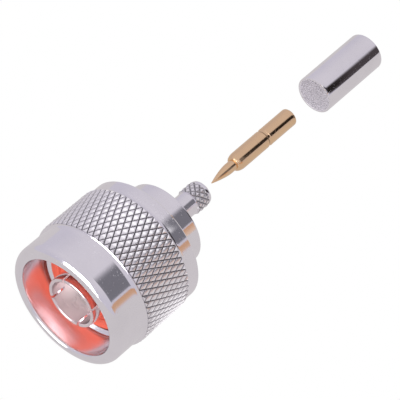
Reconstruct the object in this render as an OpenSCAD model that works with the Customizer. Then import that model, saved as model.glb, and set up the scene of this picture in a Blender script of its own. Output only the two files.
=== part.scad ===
// N type cable plug, crimp pattern for thin coaxial cable, laid out on one
// axis as a kit: the plug with its knurled coupling nut, then the loose centre
// contact pin, then the loose crimp ferrule.
// The plug's axis is Y. The mating face looks to -Y, the cable leaves to +Y,
// and the origin is on the axis, in the plane of the nut's front face.

/* [Coupling nut] */
// Length of the nut along the axis
nut_len = 16.8; // [15.5:0.1:20]
// Diameter of the smooth ring at the front
nut_front_d = 19.6; // [19.5:0.1:20]
// Length of the smooth front ring, up to the flare
nut_front_len = 5; // [4:0.1:5.4]
// Length of the hollow flare between the front ring and the knurl
nut_flare_len = 0.7; // [0.4:0.1:1.1]
// Roundness of the front lip, outside
nut_lip_r = 1.2; // [0.2:0.1:1.2]
// Roundness of the front lip, inside
nut_mouth_r = 0.45; // [0.1:0.05:0.45]
// Diameter of the smooth ring at the back
nut_back_d = 19.8; // [19.2:0.1:20]
// Bevel on the nut's back edge
nut_back_bevel = 0.25; // [0.05:0.05:0.5]
// Diameter over the knurl
knurl_d = 20.5; // [20.4:0.1:22]
// Length of the knurled band
knurl_len = 8.6; // [6:0.1:9]
// Depth of the knurl's grooves
knurl_depth = 0.26; // [0.15:0.01:0.3]
// Diamonds around the nut
knurl_count = 64; // [40:2:72]
// Half rows of diamonds along the band
knurl_rows = 9; // [5:1:9]
// Share of a diamond's width that is its flat top
knurl_flat = 0.72; // [0.4:0.02:0.85]
// Diameter of the bore ahead of the thread
mouth_d = 15.9; // [15.9:0.05:16.1]
// Depth of that smooth bore, from the nut's front face
mouth_depth = 4.4; // [3.5:0.1:6]
// Major diameter of the coupling thread, 5/8 inch
thread_d = 15.875; // [15.8:0.005:15.9]
// Diameter of the nut's back hole around the body
nut_back_hole_d = 13.5; // [13.4:0.05:14]

/* [Snap ring] */
// Thickness of the ring along the axis
ring_t = 0.9; // [0.6:0.1:1.2]
// How far the ring reaches into the nut's wall
ring_reach = 0.45; // [0.3:0.05:0.6]
// Depth of the ring's groove in the body
ring_groove_depth = 0.55; // [0.4:0.05:0.7]
// Opening of the split ring, in degrees
ring_gap_angle = 24; // [10:2:60]

/* [Contact sleeve] */
// Outer diameter of the contact sleeve
sleeve_d = 8.1; // [7.9:0.05:8.3]
// Outer diameter of the sleeve's root, under the gasket
sleeve_root_d = 8.6; // [8.5:0.05:9]
// Inner diameter of the contact sleeve
sleeve_bore_d = 7; // [6.6:0.05:7.2]
// How far the sleeve's tip lies behind the nut's front face
sleeve_recess = 1.3; // [0.5:0.1:2]
// Slots that part the sleeve into spring fingers
slot_count = 4; // [3:1:6]
// Rounding of the sleeve's tip
sleeve_tip_r = 0.18; // [0.05:0.01:0.25]
// Width of a slot
slot_w = 0.35; // [0.2:0.05:0.5]
// Turn of the first slot about the axis, in degrees
slot_turn = -18; // [-45:1:45]
// Length of a slot
slot_len = 2.4; // [1.5:0.1:3.2]
// Thickness of the sleeve's seating flange
sleeve_flange_t = 1.2; // [0.8:0.1:1.4]
// Diameter of the sleeve's seating flange
sleeve_flange_d = 10.4; // [9.8:0.1:10.8]

/* [Gasket] */
// Depth of the gasket's front face below the nut's front face
gasket_depth = 4.9; // [4.7:0.1:5.4]
// Thickness of the gasket
gasket_t = 1.5; // [1:0.1:1.8]
// Outer diameter of the gasket
gasket_d = 13.9; // [13.4:0.1:14]
// Width of the raised bead on the gasket's face
gasket_bead_w = 0.9; // [0.5:0.1:1.2]
// Height of that bead
gasket_bead_h = 0.25; // [0.1:0.05:0.3]

/* [Body] */
// Diameter of the body's front boss, which carries the gasket
boss_d = 13.9; // [13.4:0.1:14]
// Length of the boss
boss_len = 4.2; // [3.6:0.1:4.6]
// Gap between the boss and the nut's back wall
back_wall_gap = 0.8; // [0.3:0.1:1.2]
// Diameter of the body behind the nut
flange_d = 13.15; // [13:0.05:13.4]
// How far the body stands out behind the nut
flange_out = 4.3; // [3:0.1:6]
// Bevel on the body's back edge
flange_bevel = 0.2; // [0.05:0.05:0.6]
// Diameter of the body's inner space
cavity_d = 9.4; // [8.8:0.1:9.6]

/* [Crimp stem] */
// Length of the stem behind the body
stem_len = 7.9; // [7:0.1:12]
// Diameter of the smooth part of the stem
stem_d = 3.6; // [3.5:0.05:3.65]
// Diameter of the collar at the stem's root
stem_collar_d = 4.5; // [4.2:0.1:5.1]
// Length of that collar, with its slope
stem_collar_len = 1.1; // [0.5:0.1:2]
// Length of the slope from the collar down to the stem
stem_collar_slope = 0.4; // [0.1:0.1:0.5]
// Diameter over the stem's knurl
stem_knurl_d = 4.15; // [4.15:0.05:4.5]
// Length of the stem's knurl
stem_knurl_len = 2.3; // [1.8:0.1:5]
// Length of the plain rounded nose behind that knurl
stem_nose_len = 0.6; // [0.3:0.1:1]
// Depth of the stem's knurl
stem_knurl_depth = 0.18; // [0.1:0.01:0.18]
// Diamonds around the stem
stem_knurl_count = 12; // [8:1:16]
// Half rows of diamonds along the stem
stem_knurl_rows = 5; // [3:1:9]
// Inner diameter of the stem and the insulator, which the pin's barrel passes
stem_bore_d = 3.1; // [3.05:0.05:3.15]

/* [Insulator] */
// Length of the insulator
insulator_len = 7.6; // [6:0.1:9]
// Outer diameter of the insulator
insulator_d = 9.3; // [8.7:0.1:9.5]

/* [Centre pin] */
// Diameter of the mating end
pin_tip_d = 1.62; // [1.55:0.01:1.7]
// Length of the mating end, with its taper
pin_tip_len = 4.85; // [4.6:0.05:6]
// Length of the taper
pin_taper_len = 3.7; // [2:0.1:4]
// Fullness of the taper: 1 is a straight cone
pin_taper_bow = 1.5; // [1:0.1:2]
// Diameter of the blunt point
pin_point_d = 0.12; // [0.06:0.02:0.6]
// Diameter of the pin's barrel
pin_barrel_d = 2.82; // [2.6:0.02:2.9]
// Length of the pin, end to end
pin_len = 17.8; // [16:0.1:20]
// Height of the shoulder's rounding
pin_shoulder_h = 0.45; // [0.1:0.05:0.45]
// Length of the shoulder's rounding
pin_shoulder_len = 1.3; // [0.3:0.1:2]
// Distance of the groove from the shoulder
pin_groove_at = 6.6; // [4:0.1:8]
// Width of the groove
pin_groove_w = 0.6; // [0.3:0.1:2]
// Depth of the groove
pin_groove_depth = 0.08; // [0.05:0.01:0.25]
// Rounding of the barrel's rear edge
pin_rear_r = 0.25; // [0.05:0.05:0.4]
// Diameter of the hole that takes the cable's inner wire
wire_hole_d = 1; // [0.8:0.05:1.4]
// Depth of that hole
wire_hole_depth = 4.5; // [3:0.1:6]

/* [Ferrule] */
// Outer diameter of the crimp ferrule
ferrule_d = 6.05; // [5.9:0.05:6.6]
// Inner diameter of the crimp ferrule
ferrule_bore_d = 5.4; // [5.2:0.05:5.5]
// Length of the ferrule
ferrule_len = 12.5; // [10:0.1:16]
// Rounding of the ferrule's rims
ferrule_rim_r = 0.12; // [0.04:0.01:0.17]

/* [Layout] */
// Gap between the stem's end and the loose pin's point
pin_gap = 2.2; // [1:0.1:20]
// Gap between the loose pin and the loose ferrule
ferrule_gap = 5.9; // [2:0.1:20]

/* [Clearances] */
// Radial clearance between the nut and what turns inside it
turn_clear = 0.12; // [0.05:0.01:0.16]
// Clearance of a part that is pushed or seated by hand
seat_clear = 0.05; // [0.02:0.01:0.1]

/* [Hidden] */

$fn = 96;

// Places along the axis, from the nut's front face
knurl_z = nut_front_len + nut_flare_len;
knurl_end_z = knurl_z + knurl_len;
boss_z = gasket_depth + gasket_t;
boss_end_z = boss_z + boss_len;
back_wall_z = boss_end_z + back_wall_gap;
body_end_z = nut_len + flange_out;
stem_end_z = body_end_z + stem_len;
ring_z = (back_wall_z + nut_len) / 2;
sleeve_end_z = boss_z + sleeve_flange_t;
insulator_end_z = sleeve_end_z + insulator_len;
pin_z = stem_end_z + pin_gap;
ferrule_z = pin_z + pin_len + ferrule_gap;

// Depth to which a knurled band is sunk in the core under it
band_bury = 0.05;
// Width of the bevel where a knurled band ends
band_edge = 0.22;
// Points on a rounded edge
arc_steps = 6;

// Points of an arc in the plane of a profile, from one angle to the other
function arc(c, r, from, to, n = arc_steps) =
    [for (i = [0:n]) let (a = from + (to - from) * i / n) c + r * [cos(a), sin(a)]];

// Turns a shape made along Z so that it lies along the plug's axis
module along_axis() {
    rotate([-90, 0, 0]) children();
}

// ---- Diamond knurl ----------------------------------------------------
// A band of flat-topped diamonds between two families of V grooves. Row k
// of the grooves' crossings lies k half rows up; each diamond spans the
// rows below and above its own, and the rows at both ends hold half ones.

function at(angle, r, z) = [r * cos(angle), r * sin(angle), z];
function centre_turn(k, i) = i + (k % 2 == 0 ? 0 : 0.5);
function crossing_turn(k, i) = i + (k % 2 == 0 ? 0.5 : 0);

// Radius of the core under a band, below the straight edges between crossings
function core_radius(d, depth, count) = (d / 2 - depth) * cos(180 / count) - band_bury;

module knurled_band(top_r, depth, inner_r, z, length, count, rows) {
    step = 360 / count;
    rise = length / rows;
    root_r = top_r - depth;
    half_w = knurl_flat * step / 2;
    half_h = knurl_flat * rise;
    end_w = half_w * (1 - band_edge / half_h);

    crossings = [for (k = [0:rows], i = [0:count - 1])
        at(crossing_turn(k, i) * step, root_r, z + k * rise)];
    flats = [for (k = [1:rows - 1], i = [0:count - 1])
        let (a = centre_turn(k, i) * step, h = z + k * rise)
        each [at(a - half_w, top_r, h), at(a, top_r, h + half_h),
              at(a + half_w, top_r, h), at(a, top_r, h - half_h)]];
    low_flats = [for (i = [0:count - 1])
        let (a = centre_turn(0, i) * step)
        each [at(a - end_w, top_r, z + band_edge), at(a, top_r, z + half_h),
              at(a + end_w, top_r, z + band_edge)]];
    high_flats = [for (i = [0:count - 1])
        let (a = centre_turn(rows, i) * step, h = z + length)
        each [at(a - end_w, top_r, h - band_edge), at(a + end_w, top_r, h - band_edge),
              at(a, top_r, h - half_h)]];
    inner = [for (k = [0, rows], i = [0:count - 1])
        at(crossing_turn(k, i) * step, inner_r, z + k * rise)];

    flat_0 = len(crossings);
    low_0 = flat_0 + len(flats);
    high_0 = low_0 + len(low_flats);
    inner_0 = high_0 + len(high_flats);

    function wrap(i) = (i + count) % count;
    function x(k, i) = k * count + wrap(i);
    function left(k, i) = x(k, k % 2 == 0 ? i - 1 : i);
    function right(k, i) = x(k, k % 2 == 0 ? i : i + 1);

    whole = [for (k = [1:rows - 1], i = [0:count - 1])
        let (f = flat_0 + 4 * ((k - 1) * count + i),
             L = left(k, i), R = right(k, i), T = x(k + 1, i), B = x(k - 1, i))
        each [[f, f + 1, f + 3], [f + 1, f + 2, f + 3],
              [L, T, f + 1], [L, f + 1, f], [T, R, f + 2], [T, f + 2, f + 1],
              [R, B, f + 3], [R, f + 3, f + 2], [B, L, f], [B, f, f + 3]]];
    low = [for (i = [0:count - 1])
        let (f = low_0 + 3 * i, L = left(0, i), R = right(0, i), T = x(1, i))
        each [[f, f + 1, f + 2], [L, T, f + 1], [L, f + 1, f],
              [T, R, f + 2], [T, f + 2, f + 1], [R, L, f], [R, f, f + 2]]];
    high = [for (i = [0:count - 1])
        let (f = high_0 + 3 * i, L = left(rows, i), R = right(rows, i), B = x(rows - 1, i))
        each [[f, f + 1, f + 2], [R, B, f + 2], [R, f + 2, f + 1],
              [B, L, f], [B, f, f + 2], [L, R, f + 1], [L, f + 1, f]]];
    ends = [for (i = [0:count - 1])
        let (a = inner_0 + i, b = inner_0 + wrap(i + 1),
             c = inner_0 + count + i, d = inner_0 + count + wrap(i + 1))
        each [[x(0, i), x(0, i + 1), b], [x(0, i), b, a],
              [x(rows, i), d, x(rows, i + 1)], [x(rows, i), c, d],
              [a, b, d], [a, d, c]]];

    polyhedron(points = concat(crossings, flats, low_flats, high_flats, inner),
               faces = concat(whole, low, high, ends), convexity = 6);
}

// ---- Pieces -----------------------------------------------------------

module coupling_nut() {
    front_r = nut_front_d / 2;
    mouth_r = mouth_d / 2;
    back_r = nut_back_d / 2;
    core_r = core_radius(knurl_d, knurl_depth, knurl_count);
    hole_r = nut_back_hole_d / 2;
    groove_r = hole_r + turn_clear + ring_reach;
    groove_half = ring_t / 2 + turn_clear;
    color("silver") along_axis() {
        rotate_extrude() polygon(concat(
            arc([mouth_r + nut_mouth_r, nut_mouth_r], nut_mouth_r, 180, 270),
            arc([front_r - nut_lip_r, nut_lip_r], nut_lip_r, 270, 360),
            [for (i = [0:arc_steps]) let (a = 90 * i / arc_steps)
                [front_r + (core_r - front_r) * (1 - cos(a)),
                 nut_front_len + nut_flare_len * sin(a)]],
            [[core_r, knurl_end_z],
             [back_r, knurl_end_z + band_edge],
             [back_r, nut_len - nut_back_bevel],
             [back_r - nut_back_bevel, nut_len],
             [hole_r, nut_len],
             [hole_r, ring_z + groove_half],
             [groove_r, ring_z + groove_half],
             [groove_r, ring_z - groove_half],
             [hole_r, ring_z - groove_half],
             [hole_r, back_wall_z],
             [thread_d / 2, back_wall_z],
             [thread_d / 2, mouth_depth],
             [mouth_r, mouth_depth]]));
        knurled_band(knurl_d / 2, knurl_depth, (core_r + mouth_r) / 2, knurl_z,
                     knurl_len, knurl_count, knurl_rows);
    }
}

module retaining_ring() {
    inner_d = flange_d - 2 * ring_groove_depth + 2 * seat_clear;
    outer_d = nut_back_hole_d + 2 * ring_reach;
    color("lightsteelblue") along_axis()
        rotate([0, 0, ring_gap_angle / 2])
            rotate_extrude(angle = 360 - ring_gap_angle)
                translate([inner_d / 2, ring_z - ring_t / 2 + seat_clear])
                    square([(outer_d - inner_d) / 2, ring_t - 2 * seat_clear]);
}

module gasket() {
    inner_r = sleeve_root_d / 2 + seat_clear;
    outer_r = gasket_d / 2;
    bead_r = (inner_r + outer_r) / 2;
    half_w = gasket_bead_w / 2;
    color("tomato") along_axis()
        rotate_extrude() polygon(concat(
            [[inner_r, boss_z], [inner_r, gasket_depth]],
            [for (i = [0:arc_steps]) let (a = 180 * i / arc_steps)
                [bead_r - half_w * cos(a), gasket_depth - gasket_bead_h * sin(a)]],
            [[outer_r, gasket_depth], [outer_r, boss_z]]));
}

module contact_sleeve() {
    outer_r = sleeve_d / 2;
    bore_r = sleeve_bore_d / 2;
    tip_r = sleeve_tip_r;
    color("silver") along_axis() difference() {
        rotate_extrude() polygon(concat(
            [[bore_r, sleeve_end_z]],
            arc([bore_r + tip_r, sleeve_recess + tip_r], tip_r, 180, 270),
            arc([outer_r - tip_r, sleeve_recess + tip_r], tip_r, 270, 360),
            [[outer_r, gasket_depth],
             [sleeve_root_d / 2, gasket_depth],
             [sleeve_root_d / 2, boss_z + seat_clear],
             [sleeve_flange_d / 2, boss_z + seat_clear],
             [sleeve_flange_d / 2, sleeve_end_z]]));
        for (i = [0:slot_count - 1])
            rotate([0, 0, slot_turn + 360 * i / slot_count])
                translate([0, -slot_w / 2, sleeve_recess - slot_w])
                    cube([sleeve_d, slot_w, slot_len + slot_w]);
    }
}

module crimp_body() {
    bore_r = stem_bore_d / 2;
    body_r = flange_d / 2;
    groove_r = body_r - ring_groove_depth;
    seat_r = sleeve_flange_d / 2 + seat_clear;
    core_r = core_radius(stem_knurl_d, stem_knurl_depth, stem_knurl_count);
    nose_z = stem_end_z - stem_nose_len;
    knurl_from = nose_z - stem_knurl_len;
    nose_r = stem_knurl_d / 2 - stem_knurl_depth + band_bury;
    rim_r = (nose_r + bore_r) / 2;
    color("gainsboro") along_axis() {
        rotate_extrude() polygon(concat(
            [[seat_r, boss_z],
             [boss_d / 2, boss_z],
             [boss_d / 2, boss_end_z],
             [body_r, boss_end_z],
             [body_r, ring_z - ring_t / 2],
             [groove_r, ring_z - ring_t / 2],
             [groove_r, ring_z + ring_t / 2],
             [body_r, ring_z + ring_t / 2],
             [body_r, body_end_z - flange_bevel],
             [body_r - flange_bevel, body_end_z],
             [stem_collar_d / 2, body_end_z],
             [stem_collar_d / 2, body_end_z + stem_collar_len - stem_collar_slope],
             [stem_d / 2, body_end_z + stem_collar_len],
             [stem_d / 2, knurl_from],
             [core_r, knurl_from],
             [core_r, nose_z]],
            [for (i = [0:arc_steps]) let (a = 90 * i / arc_steps)
                [rim_r + (nose_r - rim_r) * cos(a), nose_z + stem_nose_len * sin(a)]],
            [[bore_r, stem_end_z],
             [bore_r, insulator_end_z],
             [cavity_d / 2, insulator_end_z],
             [cavity_d / 2, sleeve_end_z],
             [seat_r, sleeve_end_z]]));
        knurled_band(stem_knurl_d / 2, stem_knurl_depth, (core_r + bore_r) / 2,
                     knurl_from - band_bury, stem_knurl_len + 2 * band_bury,
                     stem_knurl_count, stem_knurl_rows);
    }
}

module insulator() {
    color("white") along_axis()
        rotate_extrude()
            translate([stem_bore_d / 2, sleeve_end_z + seat_clear])
                square([(insulator_d - stem_bore_d) / 2, insulator_len - 2 * seat_clear]);
}

module centre_pin() {
    tip_r = pin_tip_d / 2;
    point_r = pin_point_d / 2;
    barrel_r = pin_barrel_d / 2;
    groove_r = barrel_r - pin_groove_depth;
    shoulder_z = pin_z + pin_tip_len;
    groove_z = shoulder_z + pin_groove_at;
    end_z = pin_z + pin_len;
    side = pin_groove_depth;
    hole_r = wire_hole_d / 2;
    color("goldenrod") along_axis()
        rotate_extrude() polygon(concat(
            [[0, pin_z]],
            [for (i = [0:arc_steps]) let (t = i / arc_steps)
                [point_r + (tip_r - point_r) * (1 - pow(1 - t, pin_taper_bow)),
                 pin_z + pin_taper_len * t]],
            [[tip_r, shoulder_z]],
            [for (i = [0:arc_steps]) let (a = 90 * i / arc_steps)
                [barrel_r - pin_shoulder_h * (1 - sin(a)),
                 shoulder_z + pin_shoulder_len * (1 - cos(a))]],
            [[barrel_r, groove_z],
             [groove_r, groove_z + side],
             [groove_r, groove_z + pin_groove_w],
             [barrel_r, groove_z + pin_groove_w + side]],
            arc([barrel_r - pin_rear_r, end_z - pin_rear_r], pin_rear_r, 0, 90),
            [[hole_r, end_z],
             [hole_r, end_z - wire_hole_depth],
             [0, end_z - wire_hole_depth - hole_r]]));
}

module crimp_ferrule() {
    outer_r = ferrule_d / 2;
    bore_r = ferrule_bore_d / 2;
    r = ferrule_rim_r;
    far_z = ferrule_z + ferrule_len;
    color("silver") along_axis()
        rotate_extrude() polygon(concat(
            arc([bore_r + r, ferrule_z + r], r, 180, 270),
            arc([outer_r - r, ferrule_z + r], r, 270, 360),
            arc([outer_r - r, far_z - r], r, 0, 90),
            arc([bore_r + r, far_z - r], r, 90, 180)));
}

coupling_nut();
retaining_ring();
gasket();
contact_sleeve();
crimp_body();
insulator();
centre_pin();
crimp_ferrule();
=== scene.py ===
"""Looks of the cable plug kit: the plug, its loose centre pin and its loose crimp ferrule.

Everything lies on the Y axis. The mating face looks to -Y and the cable would leave to +Y.
Lengths below are in millimetres and are turned into metres where a mesh is made.
"""
from math import cos, hypot, pi, radians, sin

import bmesh
import bpy
from mathutils import Matrix, Vector


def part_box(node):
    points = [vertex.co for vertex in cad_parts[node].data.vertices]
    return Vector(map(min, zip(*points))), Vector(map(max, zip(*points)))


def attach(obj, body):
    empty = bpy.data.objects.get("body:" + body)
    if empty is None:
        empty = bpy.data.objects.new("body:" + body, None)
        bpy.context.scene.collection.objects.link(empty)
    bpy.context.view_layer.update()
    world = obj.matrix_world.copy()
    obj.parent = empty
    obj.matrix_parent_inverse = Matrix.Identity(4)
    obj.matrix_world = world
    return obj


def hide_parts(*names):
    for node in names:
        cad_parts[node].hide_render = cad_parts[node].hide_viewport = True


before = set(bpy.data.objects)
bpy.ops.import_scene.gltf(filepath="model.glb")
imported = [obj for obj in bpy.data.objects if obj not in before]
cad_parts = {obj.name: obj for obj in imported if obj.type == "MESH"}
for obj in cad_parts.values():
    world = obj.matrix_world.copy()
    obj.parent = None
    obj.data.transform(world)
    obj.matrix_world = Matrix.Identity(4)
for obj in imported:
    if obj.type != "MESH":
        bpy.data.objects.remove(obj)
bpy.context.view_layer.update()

MM = 0.001


# ---- Sizes, read from the solids -----------------------------------------

def span(node):
    """First and last place of a node along the axis, and its outer radius."""
    low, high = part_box(node)
    return low.y / MM, high.y / MM, high.x / MM


NUT_END, KNURL_R = span("coupling_nut")[1:]
BODY_START, BODY_END, BOSS_R = span("crimp_body")
SLEEVE_START, SLEEVE_END, SLEEVE_FLANGE_R = span("contact_sleeve")
GASKET_TOP, GASKET_END, GASKET_R = span("gasket")
PIN_START, PIN_END, PIN_R = span("centre_pin")
FERRULE_START, FERRULE_END, FERRULE_R = span("crimp_ferrule")
INSULATOR_END = span("insulator")[1]
RING_START, RING_END = span("retaining_ring")[:2]

# Sizes that the solids' boxes don't give
NUT_FRONT_R = 9.8
NUT_FRONT_LEN = 5.0
LIP_EDGE = 1.2
MOUTH_R = 7.95
MOUTH_EDGE = 0.45
MOUTH_DEPTH = 4.4
KNURL_START = 5.7
KNURL_END = 14.3
KNURL_COUNT = 64
KNURL_HALF_ROWS = 9
KNURL_DEEP_R = KNURL_R - 0.26
SHOULDER_R = KNURL_R - 0.10
SHOULDER_FLAT = 0.06
KNURL_GROOVE = 0.09
KNURL_EDGE = 0.22
NUT_BACK_R = 9.9
BACK_BEVEL = 0.25
BACK_HOLE_R = 6.75
BACK_WALL = 11.4
THREAD_R = 7.9375
THREAD_PITCH = 25.4 / 24
THREAD_HEIGHT = 0.6
THREAD_ROOT = 0.03

BOSS_END = 10.6
FLANGE_R = 6.575
FLANGE_END = NUT_END + 4.3
FLANGE_BEVEL = 0.2
RING_SEAT_R = FLANGE_R - 0.55
CAVITY_R = 4.7
COLLAR_R = 2.25
COLLAR_FLAT = 0.7
COLLAR_LEN = 1.1
STEM_R = 1.8
STEM_KNURL_R = 2.075
STEM_DEEP_R = STEM_KNURL_R - 0.18
STEM_NOSE_R = STEM_DEEP_R + 0.05
STEM_BORE_R = 1.55
STEM_COUNT = 12
STEM_HALF_ROWS = 5
STEM_GROOVE = 0.12
NOSE_START = BODY_END - 0.6
STEM_KNURL_START = NOSE_START - 2.3

SLEEVE_R = 4.05
SLEEVE_ROOT_R = 4.3
SLEEVE_BORE_R = 3.5
TIP_EDGE = 0.18
SLOT_COUNT = 4
SLOT_W = 0.35
SLOT_LEN = 2.4
SLOT_TURN = -18
BEAD_W = 0.9
BEAD_H = 0.25
GASKET_FACE = GASKET_TOP + BEAD_H

PIN_TIP_R = 0.81
PIN_TIP_LEN = 4.85
PIN_TAPER_LEN = 3.7
PIN_BOW = 1.5
PIN_POINT_R = 0.06
PIN_SHOULDER_H = 0.45
PIN_SHOULDER_LEN = 1.3
PIN_GROOVE_AT = 6.6
PIN_GROOVE_W = 0.6
PIN_GROOVE_DEPTH = 0.11
PIN_REAR_EDGE = 0.25
WIRE_HOLE_R = 0.5
WIRE_HOLE_DEPTH = 4.5
FERRULE_BORE_R = 2.7
FERRULE_RIM = 0.12

ROUND_STEPS = 256       # facets around the nut
HOLD = 0.3              # millimetres from a corner to the point that holds its side
EDGE_FADE = 0.0001      # metres over which a knurl's finish fades out at its ends
MERGE = 0.0005          # millimetres, points closer than this become one
TOUCH = 0.002           # millimetres, points this close to a place count as on it
SHARP_CORNER = 28       # degrees between faces from which an edge is shaded sharp
LATHE_GRAIN = (40.0, 9000.0, 40.0)      # lathe rings, in cells a metre
CLOUD_GRAIN = (260.0, 260.0, 260.0)     # uneven plating
SPECK_GRAIN = (3600.0, 3600.0, 3600.0)  # small dull specks
RUBBER_GRAIN = (2500.0, 2500.0, 2500.0)
SOFT_GRAIN = (300.0, 300.0, 300.0)      # uneven rubber and plastic
NOISE_ROUGHNESS = 0.55
SCRATCH = 0.00002       # metres, depth of the finest marks
TOP_HIGHLIGHT_PAINT = 1.1        # painted highlight: how much lighter a knurl's tops are painted than the plain metal
BORE_LIGHT_PAINT = 1.12      # painted light: how much lighter a bore's metal is painted, against the shade inside it
GROOVE_SHADE_PAINT = 0.5      # painted shade: how much of a metal's colour is left in its grooves
BORE_DULL = 0.15        # added to the roughness inside a bore
FLOOR = 6000            # millimetres across the floor
DARK_CARD = 240         # millimetres across the dark side of the room


# ---- Turned pieces ---------------------------------------------------------

def new_piece(name, bm, body, finish):
    """Makes an object of a finished mesh and hangs it on its body."""
    bmesh.ops.remove_doubles(bm, verts=bm.verts, dist=MERGE * MM)
    bmesh.ops.recalc_face_normals(bm, faces=bm.faces)
    mesh = bpy.data.meshes.new(name)
    bm.to_mesh(mesh)
    bm.free()
    mesh.shade_smooth()
    mesh.set_sharp_from_angle(angle=radians(SHARP_CORNER))
    piece = bpy.data.objects.new(name, mesh)
    bpy.context.scene.collection.objects.link(piece)
    mesh.materials.append(finish)
    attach(piece, body)
    return piece


def held(outline):
    """Adds a point near both ends of each long side, so that its shading stays straight."""
    points = [outline[0]]
    for (r0, y0), (r1, y1) in zip(outline, outline[1:]):
        length = hypot(r1 - r0, y1 - y0)
        if length > 3 * HOLD:
            for t in (HOLD / length, 1 - HOLD / length):
                points.append((r0 + (r1 - r0) * t, y0 + (y1 - y0) * t))
        points.append((r1, y1))
    return points


def spin_outline(bm, outline, closed=True, steps=ROUND_STEPS):
    """Turns an outline of (radius, place along the axis) points about the axis."""
    outline = held(outline + outline[:1])[:-1] if closed else held(outline)
    verts = [bm.verts.new((r * MM, y * MM, 0)) for r, y in outline]
    pairs = list(zip(verts, verts[1:]))
    if closed:
        pairs.append((verts[-1], verts[0]))
    edges = [bm.edges.new(pair) for pair in pairs]
    bmesh.ops.spin(bm, geom=verts + edges, cent=(0, 0, 0), axis=(0, 1, 0),
                   angle=2 * pi, steps=steps, use_merge=True)
    bmesh.ops.remove_doubles(bm, verts=bm.verts, dist=MERGE * MM)


def radius(point):
    return hypot(point.x, point.z)


def set_radius(verts, r):
    """Moves vertices straight out or in to a radius about the axis."""
    for v in verts:
        stretch = r * MM / radius(v.co)
        v.co.x *= stretch
        v.co.z *= stretch


def round_ring(bm, r, y, size):
    """Rounds the circular edge at a radius and a place along the axis."""
    def on_ring(v):
        return abs(radius(v.co) - r * MM) < TOUCH * MM and abs(v.co.y - y * MM) < TOUCH * MM
    ring = [e for e in bm.edges if all(on_ring(v) for v in e.verts)]
    bmesh.ops.bevel(bm, geom=ring, offset=size * MM, offset_type="OFFSET", affect="EDGES",
                    segments=3, profile=0.5, material=-1, clamp_overlap=True)


def arc(centre, r, start, end, steps=6):
    """Points of an arc in the outline's plane, angles in degrees."""
    turns = [radians(start + (end - start) * i / steps) for i in range(steps + 1)]
    return [(centre[0] + r * cos(a), centre[1] + r * sin(a)) for a in turns]


def knurl(bm, root_r, top_r, start, end, count, half_rows, groove, cuts, crown=0.08,
          soft=0.03):
    """A band of flat-topped diamonds between two families of V grooves.

    The band is a tube of squares. A point set in the middle of each square parts it
    in four, and with the squares' own edges gone the quarters pair up as diamonds,
    which are then raised one by one.
    """
    rise = (end - start) / half_rows
    first = bmesh.ops.create_circle(bm, segments=count, radius=root_r * MM)["verts"]
    turn = Matrix.Rotation(pi / count, 4, "Y") @ Matrix.Rotation(-pi / 2, 4, "X")
    bmesh.ops.transform(bm, matrix=turn, verts=first)
    bmesh.ops.translate(bm, vec=(0, start * MM, 0), verts=first)
    edges = list({e for v in first for e in v.link_edges})
    band = []
    for _ in range((half_rows + 1) // 2):
        made = bmesh.ops.extrude_edge_only(bm, edges=edges)["geom"]
        upper = [g for g in made if isinstance(g, bmesh.types.BMVert)]
        bmesh.ops.translate(bm, vec=(0, 2 * rise * MM, 0), verts=upper)
        edges = [g for g in made if isinstance(g, bmesh.types.BMEdge)
                 and all(v in upper for v in g.verts)]
        band += [g for g in made if isinstance(g, bmesh.types.BMFace)]
    outline = {e for f in band for e in f.edges if len(e.link_faces) == 1}
    squares = [e for e in {e for f in band for e in f.edges} if e not in outline]
    middles = bmesh.ops.poke(bm, faces=band)["verts"]
    set_radius(middles, root_r)
    bmesh.ops.dissolve_edges(bm, edges=squares, use_verts=False)
    band_verts = {v for e in outline for v in e.verts} | set(middles)
    faces = list({f for v in band_verts for f in v.link_faces})
    if half_rows % 2:
        geom = faces + list({e for f in faces for e in f.edges}) \
            + list({v for f in faces for v in f.verts})
        bmesh.ops.bisect_plane(bm, geom=geom, dist=0.001 * MM, plane_co=(0, end * MM, 0),
                               plane_no=(0, 1, 0), clear_outer=True)
        faces = list({f for v in middles if v.is_valid for f in v.link_faces})
    bmesh.ops.recalc_face_normals(bm, faces=faces)
    if faces[0].normal.dot(Vector((faces[0].calc_center_median().x, 0,
                                   faces[0].calc_center_median().z))) < 0:
        bmesh.ops.reverse_faces(bm, faces=faces)
    bmesh.ops.inset_individual(bm, faces=faces, thickness=groove * MM,
                               depth=(top_r - root_r) * MM, use_even_offset=True)
    rims = list({e for f in faces for e in f.edges})
    set_radius({v for f in faces for v in f.verts}, top_r - crown)
    crowns = bmesh.ops.poke(bm, faces=faces)["verts"]
    set_radius(crowns, top_r)
    bmesh.ops.bevel(bm, geom=rims, offset=soft * MM, offset_type="OFFSET", affect="EDGES",
                    segments=1, profile=0.5, material=-1, clamp_overlap=True)
    border = [e for e in bm.edges if len(e.link_faces) == 1
              and min(abs(e.verts[0].co.y - y * MM) for y in (start, end)) < TOUCH * MM
              and abs(radius(e.verts[0].co) - root_r * MM) < TOUCH * MM]
    bmesh.ops.subdivide_edges(bm, edges=border, cuts=cuts - 1)
    ends = [v for v in bm.verts if any(len(e.link_faces) == 1 for e in v.link_edges)
            and min(abs(v.co.y - y * MM) for y in (start, end)) < TOUCH * MM
            and radius(v.co) > (root_r - 0.2) * MM]
    set_radius(ends, root_r)


# ---- Finishes --------------------------------------------------------------

class Flow:
    """A number running through a material. Python's operators on it add Math nodes."""

    def __init__(self, finish, socket):
        self.finish = finish
        self.socket = socket

    def math(self, operation, *values):
        return self.finish.node("ShaderNodeMath", {"operation": operation}, *values)

    def __add__(self, other):
        return self.math("ADD", self, other)

    def __radd__(self, other):
        return self.math("ADD", other, self)

    def __sub__(self, other):
        return self.math("SUBTRACT", self, other)

    def __rsub__(self, other):
        return self.math("SUBTRACT", other, self)

    def __mul__(self, other):
        return self.math("MULTIPLY", self, other)

    def __rmul__(self, other):
        return self.math("MULTIPLY", other, self)


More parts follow.
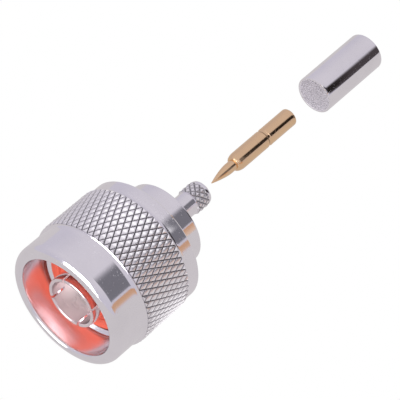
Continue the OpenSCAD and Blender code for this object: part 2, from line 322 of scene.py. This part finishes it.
class Finish:
    """A material or the world, built up node by node."""

    def __init__(self, block):
        self.block = block
        block.use_nodes = True
        self.tree = block.node_tree
        self.tree.nodes.clear()

    def put(self, socket, value):
        if isinstance(value, Flow):
            self.tree.links.new(value.socket, socket)
        elif isinstance(value, tuple) and len(value) == 3 and socket.type == "RGBA":
            socket.default_value = (*value, 1)
        else:
            socket.default_value = value

    def node(self, kind, settings=None, *values, out=0, **named):
        """Adds a node: its settings first, then its sockets in order, then by name."""
        node = self.tree.nodes.new(kind)
        for key, value in (settings or {}).items():
            setattr(node, key, value)
        for socket, value in zip(node.inputs, values):
            self.put(socket, value)
        for key, value in named.items():
            self.put(node.inputs[key.replace("_", " ")], value)
        return Flow(self, node.outputs[out]) if node.outputs else None

    def place(self):
        """The place on the piece, and its parts x, y and z."""
        place = self.node("ShaderNodeTexCoord", out=3)
        split = self.node("ShaderNodeSeparateXYZ", {}, place)
        return (place, *(Flow(self, o) for o in split.socket.node.outputs))

    def noise(self, place, stretch, detail=3):
        """Noise from 0 to 1 on places stretched by a vector, in cells a metre."""
        spread = self.node("ShaderNodeVectorMath", {"operation": "MULTIPLY"}, place, stretch)
        return self.node("ShaderNodeTexNoise", {}, Vector=spread, Scale=1.0, Detail=detail,
                         Roughness=NOISE_ROUGHNESS)

    def ramp(self, value, low, high):
        """0 below low, 1 above high, smooth between."""
        return self.node("ShaderNodeMapRange", {"interpolation_type": "SMOOTHSTEP"},
                         value, low, high, 0.0, 1.0)

    def blend(self, factor, first, second):
        """A colour between two."""
        node = self.tree.nodes.new("ShaderNodeMix")
        node.data_type = "RGBA"
        for key, value in ((0, factor), (6, first), (7, second)):
            self.put(node.inputs[key], value)
        return Flow(self, node.outputs[2])

    def bump(self, height, strength, distance):
        return self.node("ShaderNodeBump", {}, Strength=strength, Distance=distance,
                         Height=height)

    def surface(self, **sockets):
        shader = self.node("ShaderNodeBsdfPrincipled", {}, **sockets)
        self.finish(shader)

    def finish(self, shader):
        kind = "World" if isinstance(self.block, bpy.types.World) else "Material"
        self.node("ShaderNodeOutput" + kind, {}, shader)


def material(name):
    return Finish(bpy.data.materials.new(name))


def turned_metal(name, colour, roughness, band=None, bore=0, line=0.05, raw=0.0):
    """Plated metal with the fine rings that a lathe leaves.

    A band, given as its root and top radius and its start and end, has a knurl whose
    tops are painted lighter as a highlight and whose grooves are painted darker as shade,
    and both are rougher than the plain metal, the grooves more. Inside the radius of a bore
    the metal is less polished and painted lighter against its shade, and raw says how much
    of it is left as it was drawn.
    """
    m = material(name)
    place, x, y, z = m.place()
    rings = m.noise(place, LATHE_GRAIN, detail=2)
    cloud = m.noise(place, CLOUD_GRAIN, detail=4)
    speck = m.ramp(m.noise(place, SPECK_GRAIN, detail=2), 0.62, 0.74)
    shade = roughness + (cloud - 0.5) * 0.06 + (rings - 0.5) * 0.04
    tint = m.blend(m.ramp(cloud, 0.35, 0.75), colour, tuple(c * 0.96 for c in colour))
    r = m.node("ShaderNodeMath", {"operation": "SQRT"}, x * x + z * z)
    if band:
        root_r, top_r, start, end = (size * MM for size in band)
        inside = m.ramp(y, start, start + EDGE_FADE) * (1 - m.ramp(y, end - EDGE_FADE, end))
        height = m.ramp(r, root_r + 0.3 * (top_r - root_r), root_r + 0.8 * (top_r - root_r))
        # Painted highlight: the knurl's tops are painted lighter than the plain metal.
        tint = m.blend(inside * height, tint, tuple(min(c * TOP_HIGHLIGHT_PAINT, 0.99) for c in colour))
        # Painted shade: the knurl's grooves are painted darker than the plain metal.
        tint = m.blend(inside * (1 - height), tint, tuple(c * GROOVE_SHADE_PAINT for c in colour))
        shade = shade + inside * (0.20 + 0.15 * (1 - height))
    mirror = 1.0
    if bore:
        hollow = 1 - m.ramp(r, bore * MM, (bore + 0.08) * MM)
        # Painted light: the metal inside a bore is painted lighter against its shade.
        tint = m.blend(hollow, tint, tuple(min(c * BORE_LIGHT_PAINT, 1.0) for c in colour))
        shade = shade + hollow * BORE_DULL
        speck, rings = speck * (1 - hollow), rings * (1 - hollow)
        mirror = 1 - hollow * raw
    m.surface(Base_Color=tint, Metallic=mirror, Roughness=shade + speck * 0.25,
              Normal=m.bump(rings, line, SCRATCH))
    return m.block


def rubber_red():
    m = material("gasket_silicone")
    place, x, y, z = m.place()
    speck = m.noise(place, RUBBER_GRAIN, detail=2)
    cloud = m.noise(place, SOFT_GRAIN)
    tint = m.blend(cloud, (0.70, 0.092, 0.048), (0.76, 0.12, 0.062))
    m.surface(Base_Color=tint, Roughness=0.38 + speck * 0.12,
              Normal=m.bump(speck, 0.15, SCRATCH))
    return m.block


def white_plastic():
    m = material("insulator_plastic")
    place, x, y, z = m.place()
    cloud = m.noise(place, SOFT_GRAIN)
    tint = m.blend(cloud, (0.86, 0.86, 0.83), (0.91, 0.91, 0.89))
    m.surface(Base_Color=tint, Roughness=0.42 + cloud * 0.1,
              Normal=m.bump(cloud, 0.05, SCRATCH))
    return m.block


# ---- Pieces ----------------------------------------------------------------

def coupling_nut():
    # The knurl gets painted highlights on its tops and painted shade in its grooves, and the
    # mouth's inside is painted lighter against its shade.
    finish = turned_metal("nut_nickel", (0.90, 0.88, 0.915), 0.09,
                          (KNURL_DEEP_R, KNURL_R, KNURL_START, KNURL_END), MOUTH_R)
    bm = bmesh.new()
    front = arc((MOUTH_R + MOUTH_EDGE, MOUTH_EDGE), MOUTH_EDGE, 180, 270) \
        + arc((NUT_FRONT_R - LIP_EDGE, LIP_EDGE), LIP_EDGE, 270, 360, 10)
    flare = [(NUT_FRONT_R + (SHOULDER_R - NUT_FRONT_R) * (1 - cos(a)),
              NUT_FRONT_LEN + (KNURL_START - SHOULDER_FLAT - NUT_FRONT_LEN) * sin(a))
             for a in (radians(15 * i) for i in range(7))] + [(SHOULDER_R, KNURL_START)]
    back = [(NUT_BACK_R, KNURL_END + KNURL_EDGE), (NUT_BACK_R, NUT_END - BACK_BEVEL),
            (NUT_BACK_R - BACK_BEVEL, NUT_END)]
    hole = [(BACK_HOLE_R, NUT_END), (BACK_HOLE_R, BACK_WALL), (THREAD_R, BACK_WALL),
            (THREAD_R, MOUTH_DEPTH), (MOUTH_R, MOUTH_DEPTH)]
    spin_outline(bm, [(KNURL_DEEP_R, KNURL_END)] + back + hole + front + flare, closed=False)
    knurl(bm, KNURL_DEEP_R, KNURL_R, KNURL_START, KNURL_END, KNURL_COUNT, KNURL_HALF_ROWS,
          KNURL_GROOVE, ROUND_STEPS // KNURL_COUNT)
    piece = new_piece("nut_shell", bm, "nut", finish)
    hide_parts("coupling_nut")


def nut_thread():
    """The inside thread, as one ridge wound along the nut's wall."""
    finish = turned_metal("thread_nickel", (0.88, 0.86, 0.895), 0.12)
    bm = bmesh.new()
    first = MOUTH_DEPTH + 0.55 * THREAD_PITCH
    turns = int((BACK_WALL - first) / THREAD_PITCH)
    foot, crest = 0.42 * THREAD_PITCH, 0.08 * THREAD_PITCH
    corners = [(THREAD_R + THREAD_ROOT, first - foot),
               (THREAD_R - THREAD_HEIGHT, first - crest),
               (THREAD_R - THREAD_HEIGHT, first + crest),
               (THREAD_R + THREAD_ROOT, first + foot)]
    verts = [bm.verts.new((r * MM, y * MM, 0)) for r, y in corners]
    ridge = bm.faces.new(verts)
    steps = 96
    bmesh.ops.spin(bm, geom=verts + list(ridge.edges) + [ridge], cent=(0, 0, 0),
                   axis=(0, 1, 0), dvec=(0, THREAD_PITCH * MM / steps, 0),
                   angle=2 * pi * turns, steps=steps * turns)
    new_piece("nut_thread", bm, "nut", finish)


def crimp_body():
    knurl_end = NOSE_START + 0.05
    # The stem's knurl gets painted highlights on its tops and painted shade in its grooves.
    finish = turned_metal("body_nickel", (0.90, 0.88, 0.91), 0.09,
                          (STEM_DEEP_R, STEM_KNURL_R, STEM_KNURL_START, knurl_end))
    bm = bmesh.new()
    rim_r = (STEM_NOSE_R + STEM_BORE_R) / 2
    nose = [(rim_r + (STEM_NOSE_R - rim_r) * cos(a),
             NOSE_START + (BODY_END - NOSE_START) * sin(a))
            for a in (radians(15 * i) for i in range(7))]
    outline = [(STEM_DEEP_R, knurl_end)] + nose \
        + [(STEM_BORE_R, BODY_END), (STEM_BORE_R, INSULATOR_END), (CAVITY_R, INSULATOR_END),
           (CAVITY_R, SLEEVE_END), (SLEEVE_FLANGE_R, SLEEVE_END),
           (SLEEVE_FLANGE_R, BODY_START), (BOSS_R, BODY_START), (BOSS_R, BOSS_END),
           (FLANGE_R, BOSS_END), (FLANGE_R, RING_START), (RING_SEAT_R, RING_START),
           (RING_SEAT_R, RING_END), (FLANGE_R, RING_END), (FLANGE_R, FLANGE_END),
           (COLLAR_R, FLANGE_END), (COLLAR_R, FLANGE_END + COLLAR_FLAT),
           (STEM_R, FLANGE_END + COLLAR_LEN), (STEM_R, STEM_KNURL_START),
           (STEM_DEEP_R, STEM_KNURL_START)]
    spin_outline(bm, outline, closed=False, steps=STEM_COUNT * 12)
    round_ring(bm, FLANGE_R, FLANGE_END, FLANGE_BEVEL)
    round_ring(bm, COLLAR_R, FLANGE_END + COLLAR_FLAT, 0.06)
    knurl(bm, STEM_DEEP_R, STEM_KNURL_R, STEM_KNURL_START, knurl_end, STEM_COUNT,
          STEM_HALF_ROWS, STEM_GROOVE, 12, crown=0.06, soft=0.04)
    piece = new_piece("plug_body", bm, "plug", finish)
    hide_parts("crimp_body")


def contact_sleeve():
    # The sleeve's bore is painted lighter against its shade.
    finish = turned_metal("sleeve_silver", (0.90, 0.80, 0.81), 0.13, bore=SLEEVE_BORE_R, line=0.02)
    bm = bmesh.new()
    flange_r = SLEEVE_FLANGE_R - 0.02
    outline = [(SLEEVE_BORE_R, SLEEVE_END)] \
        + arc((SLEEVE_BORE_R + TIP_EDGE, SLEEVE_START + TIP_EDGE), TIP_EDGE, 180, 270) \
        + arc((SLEEVE_R - TIP_EDGE, SLEEVE_START + TIP_EDGE), TIP_EDGE, 270, 360) \
        + [(SLEEVE_R, GASKET_FACE), (SLEEVE_ROOT_R, GASKET_FACE), (SLEEVE_ROOT_R, GASKET_END),
           (flange_r, GASKET_END), (flange_r, SLEEVE_END)]
    spin_outline(bm, outline, steps=144)
    piece = new_piece("sleeve_fingers", bm, "plug", finish)
    cutter = bmesh.new()
    size = Matrix.Diagonal((SLEEVE_R * MM, SLOT_LEN * 2 * MM, SLOT_W * MM, 1))
    shift = Matrix.Translation((SLEEVE_R * MM, SLEEVE_START * MM, 0))
    for i in range(SLOT_COUNT):
        block = bmesh.ops.create_cube(cutter, size=1)["verts"]
        turn = Matrix.Rotation(radians(SLOT_TURN + 360 * i / SLOT_COUNT), 4, "Y")
        bmesh.ops.transform(cutter, matrix=turn @ shift @ size, verts=block)
    cut_away(piece, cutter)
    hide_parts("contact_sleeve")


def cut_away(piece, cutter):
    """Cuts one mesh out of a piece and keeps the result as the piece's mesh."""
    mesh = bpy.data.meshes.new("cutter")
    cutter.to_mesh(mesh)
    cutter.free()
    tool = bpy.data.objects.new("cutter", mesh)
    bpy.context.scene.collection.objects.link(tool)
    cut = piece.modifiers.new("slots", "BOOLEAN")
    cut.operation = "DIFFERENCE"
    cut.solver = "EXACT"
    cut.object = tool
    bpy.context.view_layer.update()
    graph = bpy.context.evaluated_depsgraph_get()
    done = bpy.data.meshes.new_from_object(piece.evaluated_get(graph))
    piece.modifiers.clear()
    piece.data = done
    done.set_sharp_from_angle(angle=radians(SHARP_CORNER))
    bpy.data.objects.remove(tool)


def gasket():
    bm = bmesh.new()
    middle = (SLEEVE_ROOT_R + GASKET_R) / 2
    bead = [(middle - BEAD_W / 2 * cos(a), GASKET_FACE - BEAD_H * sin(a))
            for a in (pi * i / 8 for i in range(9))]
    outline = [(SLEEVE_ROOT_R, GASKET_END), (SLEEVE_ROOT_R, GASKET_FACE)] + bead \
        + [(GASKET_R, GASKET_FACE), (GASKET_R, GASKET_END)]
    spin_outline(bm, outline, steps=128)
    round_ring(bm, GASKET_R, GASKET_FACE, 0.12)
    piece = new_piece("gasket_ring", bm, "plug", rubber_red())
    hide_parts("gasket")


def centre_pin():
    # The band over the rear groove paints shade into the groove's floor.
    finish = turned_metal("pin_gold", (0.90, 0.63, 0.385), 0.11,
                          (PIN_R - PIN_GROOVE_DEPTH, PIN_R, PIN_START + PIN_TIP_LEN + PIN_GROOVE_AT,
                           PIN_START + PIN_TIP_LEN + PIN_GROOVE_AT + 0.3))
    bm = bmesh.new()
    shoulder = PIN_START + PIN_TIP_LEN
    groove = shoulder + PIN_GROOVE_AT
    taper = [(PIN_POINT_R + (PIN_TIP_R - PIN_POINT_R) * (1 - (1 - t) ** PIN_BOW),
              PIN_START + PIN_TAPER_LEN * t) for t in (i / 12 for i in range(13))]
    rounding = [(PIN_R - PIN_SHOULDER_H * (1 - sin(a)),
                 shoulder + PIN_SHOULDER_LEN * (1 - cos(a)))
                for a in (radians(9 * i) for i in range(11))]
    outline = [(0, PIN_START)] + taper + [(PIN_TIP_R, shoulder)] + rounding \
        + [(PIN_R, groove), (PIN_R - PIN_GROOVE_DEPTH, groove + PIN_GROOVE_DEPTH),
           (PIN_R - PIN_GROOVE_DEPTH, groove + PIN_GROOVE_W),
           (PIN_R, groove + PIN_GROOVE_W + PIN_GROOVE_DEPTH)] \
        + arc((PIN_R - PIN_REAR_EDGE, PIN_END - PIN_REAR_EDGE), PIN_REAR_EDGE, 0, 90) \
        + [(WIRE_HOLE_R, PIN_END), (WIRE_HOLE_R, PIN_END - WIRE_HOLE_DEPTH),
           (0, PIN_END - WIRE_HOLE_DEPTH - WIRE_HOLE_R)]
    spin_outline(bm, outline, closed=False, steps=96)
    piece = new_piece("contact_pin", bm, "pin", finish)
    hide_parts("centre_pin")


def crimp_ferrule():
    # The ferrule's bore is painted lighter against its shade.
    finish = turned_metal("ferrule_silver", (0.90, 0.88, 0.905), 0.07, bore=FERRULE_BORE_R,
                          raw=0.7)
    bm = bmesh.new()
    outline = [(FERRULE_BORE_R, FERRULE_START), (FERRULE_R, FERRULE_START),
               (FERRULE_R, FERRULE_END), (FERRULE_BORE_R, FERRULE_END)]
    spin_outline(bm, outline, steps=144)
    for r in (FERRULE_BORE_R, FERRULE_R):
        for y in (FERRULE_START, FERRULE_END):
            round_ring(bm, r, y, FERRULE_RIM)
    piece = new_piece("ferrule_tube", bm, "ferrule", finish)
    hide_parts("crimp_ferrule")


def small_solids():
    """The two solids that keep their own mesh get their finishes."""
    steel = turned_metal("ring_steel", (0.60, 0.60, 0.61), 0.28)
    for node, finish in (("retaining_ring", steel), ("insulator", white_plastic())):
        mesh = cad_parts[node].data
        mesh.materials.clear()
        mesh.materials.append(finish)


# ---- Room, light and camera ------------------------------------------------

CAMERA_TURN = 40.1       # degrees round the upright, from straight before the mating face
CAMERA_RISE = 46.2       # degrees above the level
CAMERA_AIM = (0, 28.65, -1.43)
CAMERA_DISTANCE = 342.2
CAMERA_LENS = 216
CAMERA_SENSOR = 36

# The floor's bright patch: how far it runs along a slanted line and to the side
PATCH_SLANT = 0.41
PATCH_ALONG = (6.2, 7.8, 13.6, 15.0)
PATCH_SIDE = (5.0, 8.0, 16.0, 19.0)
FLOOR_GAP = 0.05
FLOOR_PALE = (0.63, 0.60, 0.61)
FLOOR_BRIGHT = (1.15, 1.13, 1.15)

# Cards: place along the axis, reach from it, and angle round it in degrees
GLOW_PLACE = (19, 25, 90)
GLOW_WIDTH = 40
GLOW_HEIGHT = 70
GLOW_BEND = 0.012        # how far the glow's strip bows as it goes up
GLOW_TONE = (1.25, 1.24, 1.27)
DARK_PLACE = (110, 120, 27)
DUSK_NEAR = (0.185, 0.18, 0.205)
DUSK_DEEP = (0.014, 0.011, 0.01)
DUSK_FAR = (0.065, 0.054, 0.058)
WARM_PLACE = (25, 40, 5.9)
WARM_WIDTH = 50
WARM_HEIGHT = 18
WARM_LIGHT = (0.72, 0.52, 0.40)
WARM_DEEP = (0.58, 0.33, 0.20)

LAMP_POWER = 1.65        # watts
LAMP_WIDTH = 0.34        # metres, as is its height and its place
LAMP_HEIGHT = 0.28
LAMP_PLACE = (-0.04, -0.42, 0.13)


def camera():
    turn, rise = radians(CAMERA_TURN), radians(CAMERA_RISE)
    back = Vector((sin(turn) * cos(rise), -cos(turn) * cos(rise), sin(rise)))
    right = Vector((cos(turn), sin(turn), 0))
    up = back.cross(right)
    data = bpy.data.cameras.new("camera")
    data.lens = CAMERA_LENS
    data.sensor_width = CAMERA_SENSOR
    eye = bpy.data.objects.new("camera", data)
    axes = Matrix((right, up, back)).transposed().to_4x4()
    spot = (Vector(CAMERA_AIM) + back * CAMERA_DISTANCE) * MM
    eye.matrix_world = Matrix.Translation(spot) @ axes
    bpy.context.scene.collection.objects.link(eye)
    bpy.context.scene.camera = eye


def stage_plane(name, finish, width, height, place):
    """A flat card that isn't part of the object, put in its place by a matrix."""
    bm = bmesh.new()
    bmesh.ops.create_grid(bm, x_segments=1, y_segments=1, size=0.5)
    mesh = bpy.data.meshes.new(name)
    bm.to_mesh(mesh)
    bm.free()
    mesh.materials.append(finish)
    card = bpy.data.objects.new(name, mesh)
    card.matrix_world = place @ Matrix.Diagonal((width * MM, height * MM, 1, 1))
    bpy.context.scene.collection.objects.link(card)


def stretch_of(m, value, places):
    """1 between the middle two of four places, fading to 0 at the outer two."""
    return m.ramp(value, places[0], places[1]) * (1 - m.ramp(value, places[2], places[3]))


def floor():
    """White to the eye, light grey with one bright patch in the metal, else pale paint."""
    m = material("floor_paint")
    ray = m.tree.nodes.new("ShaderNodeLightPath")
    eye = Flow(m, ray.outputs["Is Camera Ray"])
    gloss = Flow(m, ray.outputs["Is Glossy Ray"])
    paint = m.node("ShaderNodeBsdfPrincipled", {}, Base_Color=(0.75, 0.73, 0.74),
                   Roughness=0.9)
    place, x, y, z = m.place()
    side, along = x * FLOOR, y * FLOOR
    skew = along - PATCH_SLANT * side
    patch = stretch_of(m, skew, PATCH_ALONG) * stretch_of(m, side, PATCH_SIDE)
    tone = m.blend(patch, FLOOR_PALE, FLOOR_BRIGHT)
    pale = m.node("ShaderNodeEmission", {}, tone, 1.0)
    white = m.node("ShaderNodeEmission", {}, (1.0, 1.0, 1.0), 1.0)
    grey = m.node("ShaderNodeMixShader", {}, gloss, paint, pale)
    m.finish(m.node("ShaderNodeMixShader", {}, eye, grey, white))
    stage_plane("floor", m.block, FLOOR, FLOOR,
                Matrix.Translation((0, 0, -(KNURL_R + FLOOR_GAP) * MM)))


def seen_in_metal(name, colour, amount):
    """A card's finish that only shows as a reflection. The amount is worked out over it."""
    m = material(name)
    place, x, y, z = m.place()
    ray = m.tree.nodes.new("ShaderNodeLightPath")
    gloss = Flow(m, ray.outputs["Is Glossy Ray"])
    clear = m.node("ShaderNodeBsdfTransparent")
    tone = m.node("ShaderNodeEmission", {}, colour(m, x, y), 1.0)
    m.finish(m.node("ShaderNodeMixShader", {}, gloss * amount(m, x, y), clear, tone))
    return m.block


def card_place(along, reach, angle):
    """Faces a card to the axis, at an angle round it and a reach from it in millimetres."""
    turn = radians(angle)
    out = Vector((cos(turn), 0, sin(turn)))
    up = Vector((-sin(turn), 0, cos(turn)))
    axes = Matrix((Vector((0, 1, 0)), up, -out)).transposed().to_4x4()
    spot = Vector((0, along, 0)) + out * reach
    return Matrix.Translation(spot * MM) @ axes


def cards():
    """What the metal mirrors: a dark side of the room beyond the plug, a warm strip low
    down beside the nut and a bright one over its knurl.
    """
    def dusk(m, x, y):
        along = DARK_PLACE[0] + x * DARK_CARD
        dim = m.blend(m.ramp(along, 112.0, 119.0), DUSK_NEAR, DUSK_DEEP)
        return m.blend(m.ramp(along, 142.0, 150.0), dim, DUSK_FAR)

    def dusk_edge(m, x, y):
        along, up = DARK_PLACE[0] + x * DARK_CARD, y * DARK_CARD
        over = up + 18 + 40 * m.ramp(along, 130.0, 155.0)
        under = 104 - 44 * m.ramp(along, 128.0, 155.0) - up
        return m.ramp(over, 0.0, 4.0) * m.ramp(under, 0.0, 46.0) * m.ramp(along, 35.0, 55.0)

    def warm_edge(m, x, y):
        along, up = WARM_PLACE[0] + x * WARM_WIDTH, y * WARM_HEIGHT
        return m.ramp(up + 6 * m.ramp(along, 35.0, 41.0), 0.0, 4.0) \
            * (1 - m.ramp(along, 45.0, 50.0))

    def warm(m, x, y):
        return m.blend(m.ramp(y, -0.2, 0.5), WARM_LIGHT, WARM_DEEP)

    def glow(m, x, y):
        return GLOW_TONE

    def glow_edge(m, x, y):
        along, up = x * GLOW_WIDTH, y * GLOW_HEIGHT
        lean = along - GLOW_BEND * up * up
        return stretch_of(m, lean, (-4.0, -2.0, 3.0, 5.0)) \
            * stretch_of(m, up, (-30.0, -22.0, 14.0, 20.0))

    stage_plane("glow_card", seen_in_metal("glow_card", glow, glow_edge),
                GLOW_WIDTH, GLOW_HEIGHT, card_place(*GLOW_PLACE))
    stage_plane("dark_card", seen_in_metal("dark_card", dusk, dusk_edge),
                DARK_CARD, DARK_CARD, card_place(*DARK_PLACE))
    stage_plane("warm_card", seen_in_metal("warm_card", warm, warm_edge),
                WARM_WIDTH, WARM_HEIGHT, card_place(*WARM_PLACE))


def room():
    """Pale walls and ceiling."""
    world = bpy.data.worlds.new("room")
    bpy.context.scene.world = world
    w = Finish(world)
    place, x, y, z = w.place()
    eye = w.node("ShaderNodeLightPath")
    pale = w.blend(w.ramp(z, 0.2, 1.0), (0.60, 0.575, 0.65), (0.68, 0.65, 0.70))
    light = w.node("ShaderNodeBackground", {}, pale, 1.0)
    white = w.node("ShaderNodeBackground", {}, (1.0, 1.0, 1.0), 1.0)
    w.finish(w.node("ShaderNodeMixShader", {}, eye, light, white))


def lamp(name, power, width, height, spot):
    """A soft lamp over a rectangle, facing the plug."""
    data = bpy.data.lights.new(name, "AREA")
    data.shape = "RECTANGLE"
    data.energy = power
    data.size = width
    data.size_y = height
    light = bpy.data.objects.new(name, data)
    facing = Vector(spot).to_track_quat("Z", "Y").to_matrix().to_4x4()
    light.matrix_world = Matrix.Translation(spot) @ facing
    bpy.context.scene.collection.objects.link(light)


coupling_nut()
nut_thread()
crimp_body()
contact_sleeve()
gasket()
centre_pin()
crimp_ferrule()
small_solids()
camera()
floor()
cards()
room()
lamp("front", LAMP_POWER, LAMP_WIDTH, LAMP_HEIGHT, LAMP_PLACE)

bpy.context.scene.view_settings.view_transform = "Standard"
